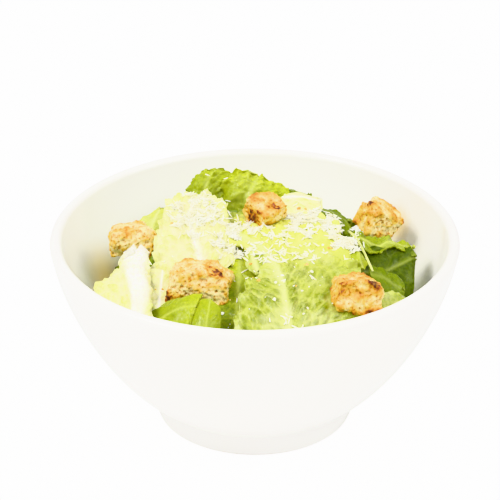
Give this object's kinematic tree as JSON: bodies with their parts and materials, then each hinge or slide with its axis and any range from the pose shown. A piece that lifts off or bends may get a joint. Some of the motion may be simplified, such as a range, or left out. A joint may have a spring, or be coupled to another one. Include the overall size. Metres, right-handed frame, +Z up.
{
  "type": "caesar salad",
  "caption": "Caesar salad of romaine leaves, grated hard cheese and toasted croutons, served in a plain white footed bowl.",
  "frame": {"origin": "middle of the bowl's foot, on the surface it stands on", "axes": "+Z up; the salad's front towards -Y and +X to the right of someone who faces it"},
  "size_m": [0.15, 0.15, 0.084],
  "materials": {
    "glaze": "gloss",
    "romaine": "satin",
    "toast": "matte"
  },
  "bodies": {
    "root": {"bowl": "glaze", "salad_heap": "romaine", "crouton_left": "toast", "crouton_top": "toast", "crouton_right": "toast", "crouton_front_left": "toast", "crouton_front_right": "toast"}
  },
  "joints": []
}
